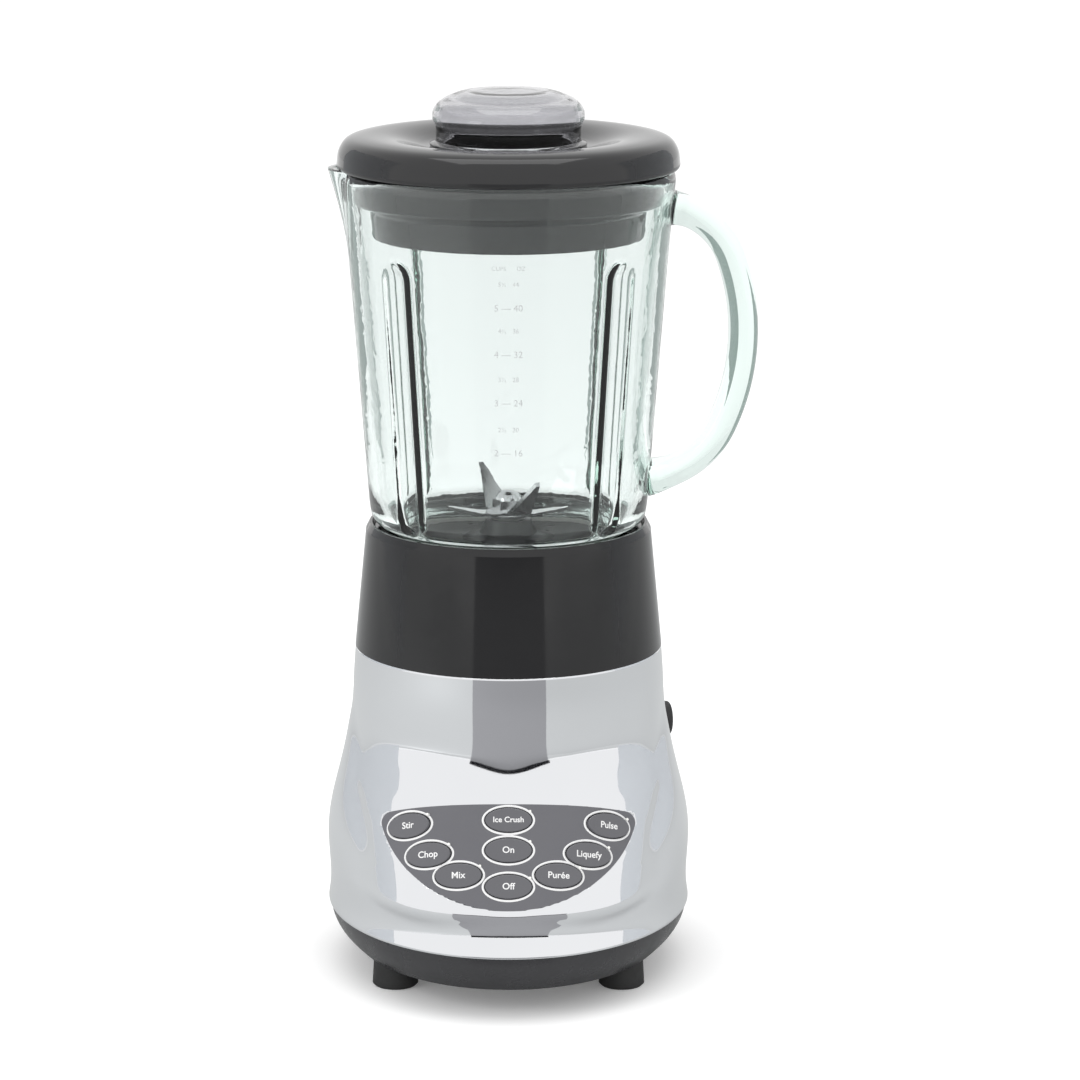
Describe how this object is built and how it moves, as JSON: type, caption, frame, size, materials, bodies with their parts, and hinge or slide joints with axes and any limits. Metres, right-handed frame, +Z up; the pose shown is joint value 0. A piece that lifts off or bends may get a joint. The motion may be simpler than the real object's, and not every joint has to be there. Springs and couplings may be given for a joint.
{
  "type": "countertop blender",
  "caption": "Countertop blender: chromed motor base with an oval-key panel, dark locking ring, fluted glass jar with spout and loop handle, dark lid and clear measuring cap.",
  "frame": {"origin": "where the drive axis meets the table, midway between the four feet", "axes": "+Z up along the drive axis; the key panel faces -Y; the jar's handle is on +X and its spout on -X"},
  "size_m": [0.1886, 0.1941, 0.3877],
  "materials": {
    "feet": "moulded rubber",
    "lower_shell": "semi-gloss dark grey",
    "chrome_shell": "mirror plated",
    "steel_screws": "zinc plated",
    "board": "circuit laminate",
    "board_parts": "moulded parts",
    "gland": "soft black",
    "panel": "satin grey film",
    "lens": "clear window",
    "key": "satin grey film",
    "tray": "moulded",
    "dome": "snap domes",
    "seat": "black moulded",
    "laminations": "stacked sheet steel",
    "copper": "enamelled copper",
    "shaft_steel": "ground",
    "fan": "moulded",
    "coupling": "tough moulded",
    "bracket": "die cast",
    "bronze": "sintered bronze",
    "brush_holder": "pressed brass",
    "carbon": "graphite",
    "mount_rubber": "soft",
    "ring": "gloss black",
    "gasket": "food grade silicone",
    "blade_carrier": "moulded",
    "blade_steel": "stainless",
    "glass": "clear glass with green edges",
    "lid": "gloss dark grey",
    "cap": "clear moulded plastic"
  },
  "bodies": {
    "base": {"foot_front_left": "feet", "foot_front_right": "feet", "foot_rear_left": "feet", "foot_rear_right": "feet", "lower_housing": "lower_shell", "upper_housing": "chrome_shell", "foot_screws": "steel_screws", "housing_screws": "steel_screws", "board_screws": "steel_screws", "mount_screws": "steel_screws", "stack_screws": "steel_screws", "control_board": "board", "board_components": "board_parts", "cord_gland": "gland", "control_panel": "panel", "indicator_lenses": "lens", "keypad_tray": "tray", "dome_switches": "dome", "jar_seat": "seat", "field_core": "laminations", "field_coils": "copper", "upper_bracket": "bracket", "lower_bracket": "bracket", "upper_bearing": "bronze", "lower_bearing": "bronze", "brush_holders": "brush_holder", "carbon_brushes": "carbon", "motor_mounts": "mount_rubber"},
    "rotor": {"motor_shaft": "shaft_steel", "armature_core": "laminations", "armature_windings": "copper", "commutator": "copper", "cooling_fan": "fan", "drive_coupling": "coupling"},
    "ring_unit": {"locking_ring": "ring", "blade_housing": "blade_carrier", "jar_gasket": "gasket", "lower_bushing": "bronze", "upper_bushing": "bronze", "shaft_seal": "gasket"},
    "cutter": {"blade_shaft": "shaft_steel", "thrust_washer": "blade_steel", "lower_blade": "blade_steel", "upper_blade": "blade_steel", "blade_nut": "blade_steel", "driven_coupling": "coupling"},
    "jar": {"glass_jar": "glass"},
    "lid": {"jar_lid": "lid"},
    "cap": {"measuring_cap": "cap"},
    "key_stir": {"key_stir": "key"},
    "key_chop": {"key_chop": "key"},
    "key_mix": {"key_mix": "key"},
    "key_off": {"key_off": "key"},
    "key_puree": {"key_puree": "key"},
    "key_liquefy": {"key_liquefy": "key"},
    "key_pulse": {"key_pulse": "key"},
    "key_on": {"key_on": "key"},
    "key_ice_crush": {"key_ice_crush": "key"}
  },
  "joints": [
    {"name": "rotor_spin", "type": "hinge", "parent": "base", "child": "rotor", "pos_m": [0, 0, 0.08], "axis": [0, 0, 1], "continuous": true},
    {"name": "jar_unit_lift", "type": "slide", "parent": "base", "child": "ring_unit", "axis": [0, 0, 1], "range_m": [0, 0.12]},
    {"name": "cutter_spin", "type": "hinge", "parent": "ring_unit", "child": "cutter", "pos_m": [0, 0, 0.18], "axis": [0, 0, 1], "continuous": true},
    {"name": "jar_unscrew", "type": "hinge", "parent": "ring_unit", "child": "jar", "pos_m": [0, 0, 0.19], "axis": [0, 0, 1], "range_deg": [0, 40]},
    {"name": "lid_lift", "type": "slide", "parent": "jar", "child": "lid", "axis": [0, 0, 1], "range_m": [0, 0.09]},
    {"name": "cap_lift", "type": "slide", "parent": "lid", "child": "cap", "axis": [0, 0, 1], "range_m": [0, 0.06]},
    {"name": "press_stir", "type": "slide", "parent": "base", "child": "key_stir", "axis": [0.464, 0.7822, -0.4158], "range_m": [0, 0.0007], "stiffness_N_per_m": 800},
    {"name": "press_chop", "type": "slide", "parent": "base", "child": "key_chop", "axis": [0.3266, 0.824, -0.463], "range_m": [0, 0.0007], "stiffness_N_per_m": 800},
    {"name": "press_mix", "type": "slide", "parent": "base", "child": "key_mix", "axis": [0.1478, 0.8533, -0.5001], "range_m": [0, 0.0007], "stiffness_N_per_m": 800},
    {"name": "press_off", "type": "slide", "parent": "base", "child": "key_off", "axis": [0, 0.8594, -0.5113], "range_m": [0, 0.0007], "stiffness_N_per_m": 800},
    {"name": "press_puree", "type": "slide", "parent": "base", "child": "key_puree", "axis": [-0.1478, 0.8533, -0.5001], "range_m": [0, 0.0007], "stiffness_N_per_m": 800},
    {"name": "press_liquefy", "type": "slide", "parent": "base", "child": "key_liquefy", "axis": [-0.3266, 0.824, -0.463], "range_m": [0, 0.0007], "stiffness_N_per_m": 800},
    {"name": "press_pulse", "type": "slide", "parent": "base", "child": "key_pulse", "axis": [-0.464, 0.7822, -0.4158], "range_m": [0, 0.0007], "stiffness_N_per_m": 800},
    {"name": "press_on", "type": "slide", "parent": "base", "child": "key_on", "axis": [0, 0.8594, -0.5113], "range_m": [0, 0.0007], "stiffness_N_per_m": 800},
    {"name": "press_ice_crush", "type": "slide", "parent": "base", "child": "key_ice_crush", "axis": [0, 0.8594, -0.5113], "range_m": [0, 0.0007], "stiffness_N_per_m": 800}
  ],
  "couplings": [
    {"joint": "cutter_spin", "follows": "rotor_spin", "ratio": 1}
  ]
}
